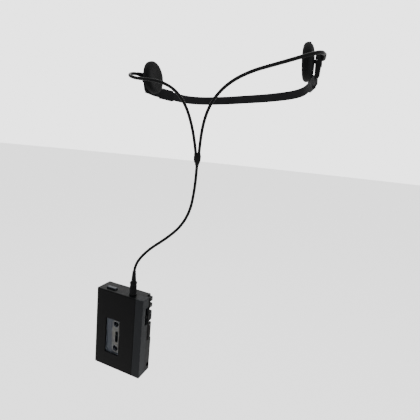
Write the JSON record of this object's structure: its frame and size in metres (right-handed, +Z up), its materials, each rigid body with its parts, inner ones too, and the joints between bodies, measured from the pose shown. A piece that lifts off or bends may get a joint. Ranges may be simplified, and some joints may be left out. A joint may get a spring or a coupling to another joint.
{
  "type": "cassette player",
  "caption": "Pocket cassette player with side keys, hinged cassette door and window, with headphones plugged into its top by a forked cord.",
  "frame": {"origin": "centre of the player's flat back face", "axes": "+X towards the player's right-hand side with the keys, +Y out of the flat back face, -Y out of the cassette door, +Z up towards the headphone jack"},
  "size_m": [0.2927, 0.1561, 0.5058],
  "materials": {
    "case_plastic": "fine-grained moulded plastic, dark grey",
    "cover_paint": "satin paint, blue-grey",
    "door_paint": "satin black paint",
    "window_clear": "clear acrylic, faintly tinted",
    "cassette_plastic": "moulded polystyrene, blue-grey",
    "label_paper": "grey printed paper",
    "hub_plastic": "black moulded plastic",
    "mechanism_steel": "zinc-plated steel",
    "brass_turned": "turned brass",
    "belt_rubber": "black rubber",
    "screw_steel": "blackened steel",
    "board_laminate": "solder-masked laminate with parts",
    "cell_jacket": "printed metal jacket, plain",
    "key_plastic": "satin grey plastic",
    "key_plastic_dark": "satin dark grey plastic",
    "button_silver": "satin anodised",
    "slider_black": "ribbed black plastic",
    "plug_plated": "nickel plate",
    "cord_vinyl": "flexible black vinyl",
    "band_steel": "black-coated spring steel",
    "headset_plastic": "satin black plastic",
    "driver_metal": "stamped steel frame",
    "ear_foam": "open-cell black foam"
  },
  "bodies": {
    "player": {"rear_case": "case_plastic", "front_case": "case_plastic", "control_cover": "cover_paint", "case_screws": "screw_steel", "door_hinge_pins": "mechanism_steel", "chassis_plate": "mechanism_steel", "motor": "mechanism_steel", "drive_belt": "belt_rubber", "battery_cells": "cell_jacket", "battery_cradle": "case_plastic", "battery_contacts": "mechanism_steel", "circuit_board": "board_laminate", "headphone_jack": "hub_plastic", "dc_socket": "hub_plastic", "volume_control": "hub_plastic"},
    "battery_lid": {"battery_lid": "case_plastic"},
    "door": {"door_panel": "door_paint", "door_window": "window_clear", "cassette_guides": "mechanism_steel", "cassette_front_half": "cassette_plastic", "cassette_rear_half": "cassette_plastic", "cassette_label": "label_paper", "tape_guides": "hub_plastic"},
    "supply_reel": {"supply_reel": "hub_plastic"},
    "take_up_reel": {"take_up_reel": "hub_plastic"},
    "supply_spindle": {"supply_spindle": "hub_plastic"},
    "take_up_spindle": {"take_up_spindle": "hub_plastic"},
    "flywheel": {"flywheel": "brass_turned"},
    "motor_pulley": {"motor_pulley": "brass_turned"},
    "idler_wheel": {"idler_wheel": "belt_rubber"},
    "head_carriage": {"head_base": "mechanism_steel", "playback_head": "mechanism_steel"},
    "pinch_arm": {"pinch_arm": "mechanism_steel"},
    "pinch_roller": {"pinch_roller": "belt_rubber"},
    "play_key": {"play_key": "key_plastic"},
    "stop_key": {"stop_key": "key_plastic_dark"},
    "rewind_key": {"rewind_key": "key_plastic"},
    "fast_forward_key": {"fast_forward_key": "key_plastic"},
    "talk_button": {"talk_button": "button_silver"},
    "volume_slider_left": {"volume_slider_left": "slider_black"},
    "volume_slider_right": {"volume_slider_right": "slider_black"},
    "headphones": {"plug_shaft": "plug_plated", "plug_body": "cord_vinyl", "plug_relief": "cord_vinyl", "main_cord": "cord_vinyl", "left_cord": "cord_vinyl", "right_cord": "cord_vinyl", "cord_splitter": "cord_vinyl", "headband": "band_steel"},
    "left_slider": {"left_hanger": "headset_plastic", "left_pivot_pin": "screw_steel"},
    "left_ear": {"left_ear_cup": "headset_plastic", "left_driver": "driver_metal", "left_ear_pad": "ear_foam"},
    "right_slider": {"right_hanger": "headset_plastic", "right_pivot_pin": "screw_steel"},
    "right_ear": {"right_ear_cup": "headset_plastic", "right_driver": "driver_metal", "right_ear_pad": "ear_foam"}
  },
  "joints": [
    {"name": "door_hinge", "type": "hinge", "parent": "player", "child": "door", "pos_m": [-0.043, -0.028, 0], "axis": [0, 0, -1], "range_deg": [0, 90]},
    {"name": "battery_lid_hinge", "type": "hinge", "parent": "player", "child": "battery_lid", "pos_m": [0, -0.0008, 0.06335], "axis": [1, 0, 0], "range_deg": [0, 100]},
    {"name": "play_key_slide", "type": "slide", "parent": "player", "child": "play_key", "axis": [-1, 0, 0], "range_m": [0, 0.0035], "stiffness_N_per_m": 300, "springref_m": -0.002},
    {"name": "head_slide", "type": "slide", "parent": "player", "child": "head_carriage", "axis": [-1, 0, 0], "range_m": [0, 0.0045]},
    {"name": "pinch_swing", "type": "hinge", "parent": "player", "child": "pinch_arm", "pos_m": [0.036, -0.017, -0.05475], "axis": [0, -1, 0], "range_deg": [0, 27.6]},
    {"name": "pinch_roller_spin", "type": "hinge", "parent": "pinch_arm", "child": "pinch_roller", "pos_m": [0.03004, -0.02065, -0.03639], "axis": [0, -1, 0], "continuous": true},
    {"name": "flywheel_spin", "type": "hinge", "parent": "player", "child": "flywheel", "pos_m": [0.016, -0.008, -0.04125], "axis": [0, -1, 0], "continuous": true},
    {"name": "motor_spin", "type": "hinge", "parent": "player", "child": "motor_pulley", "pos_m": [-0.028, -0.0034, -0.05075], "axis": [0, -1, 0], "continuous": true},
    {"name": "idler_spin", "type": "hinge", "parent": "player", "child": "idler_wheel", "pos_m": [0.00693, -0.012, -0.03777], "axis": [0, -1, 0], "continuous": true},
    {"name": "take_up_spindle_spin", "type": "hinge", "parent": "player", "child": "take_up_spindle", "pos_m": [-0.0068, -0.014, -0.0325], "axis": [0, -1, 0], "continuous": true},
    {"name": "supply_spindle_spin", "type": "hinge", "parent": "player", "child": "supply_spindle", "pos_m": [-0.0068, -0.014, 0.01], "axis": [0, -1, 0], "continuous": true},
    {"name": "take_up_reel_spin", "type": "hinge", "parent": "door", "child": "take_up_reel", "pos_m": [-0.0068, -0.02065, -0.0325], "axis": [0, -1, 0], "continuous": true},
    {"name": "supply_reel_spin", "type": "hinge", "parent": "door", "child": "supply_reel", "pos_m": [-0.0068, -0.02065, 0.01], "axis": [0, -1, 0], "continuous": true},
    {"name": "plug_slide", "type": "slide", "parent": "player", "child": "headphones", "axis": [0, 0, 1], "range_m": [0, 0.016]},
    {"name": "stop_key_slide", "type": "slide", "parent": "player", "child": "stop_key", "axis": [-1, 0, 0], "range_m": [0, 0.0035], "stiffness_N_per_m": 250, "springref_m": -0.002},
    {"name": "rewind_key_slide", "type": "slide", "parent": "player", "child": "rewind_key", "axis": [-1, 0, 0], "range_m": [0, 0.0035], "stiffness_N_per_m": 250, "springref_m": -0.002},
    {"name": "fast_forward_key_slide", "type": "slide", "parent": "player", "child": "fast_forward_key", "axis": [-1, 0, 0], "range_m": [0, 0.0035], "stiffness_N_per_m": 250, "springref_m": -0.002},
    {"name": "talk_button_slide", "type": "slide", "parent": "player", "child": "talk_button", "axis": [0, 0, -1], "range_m": [0, 0.0015], "stiffness_N_per_m": 200, "springref_m": -0.002},
    {"name": "volume_left_slide", "type": "slide", "parent": "player", "child": "volume_slider_left", "axis": [0, 0, 1], "range_m": [-0.011, 0.011]},
    {"name": "volume_right_slide", "type": "slide", "parent": "player", "child": "volume_slider_right", "axis": [0, 0, 1], "range_m": [-0.011, 0.011]},
    {"name": "left_band_slide", "type": "slide", "parent": "headphones", "child": "left_slider", "axis": [0.3085, 0.9509, 0.0254], "range_m": [0, 0.011]},
    {"name": "left_ear_tilt", "type": "hinge", "parent": "left_slider", "child": "left_ear", "pos_m": [-0.00279, 0.0144, 0.39769], "axis": [0, 1, 0], "range_deg": [-8, 8]},
    {"name": "right_band_slide", "type": "slide", "parent": "headphones", "child": "right_slider", "axis": [-0.3085, 0.9509, -0.0254], "range_m": [0, 0.011]},
    {"name": "right_ear_tilt", "type": "hinge", "parent": "right_slider", "child": "right_ear", "pos_m": [0.23839, 0.0144, 0.41752], "axis": [0, 1, 0], "range_deg": [-8, 8]}
  ],
  "couplings": [
    {"joint": "head_slide", "follows": "play_key_slide", "ratio": 1.2857},
    {"joint": "pinch_swing", "follows": "play_key_slide", "rad_per_m": 137.6},
    {"joint": "motor_spin", "follows": "flywheel_spin", "ratio": 5.5246},
    {"joint": "idler_spin", "follows": "flywheel_spin", "ratio": -0.7004},
    {"joint": "take_up_spindle_spin", "follows": "flywheel_spin", "ratio": 0.4444},
    {"joint": "supply_spindle_spin", "follows": "flywheel_spin", "ratio": 0.4444},
    {"joint": "take_up_reel_spin", "follows": "flywheel_spin", "ratio": 0.4444},
    {"joint": "supply_reel_spin", "follows": "flywheel_spin", "ratio": 0.4444}
  ]
}
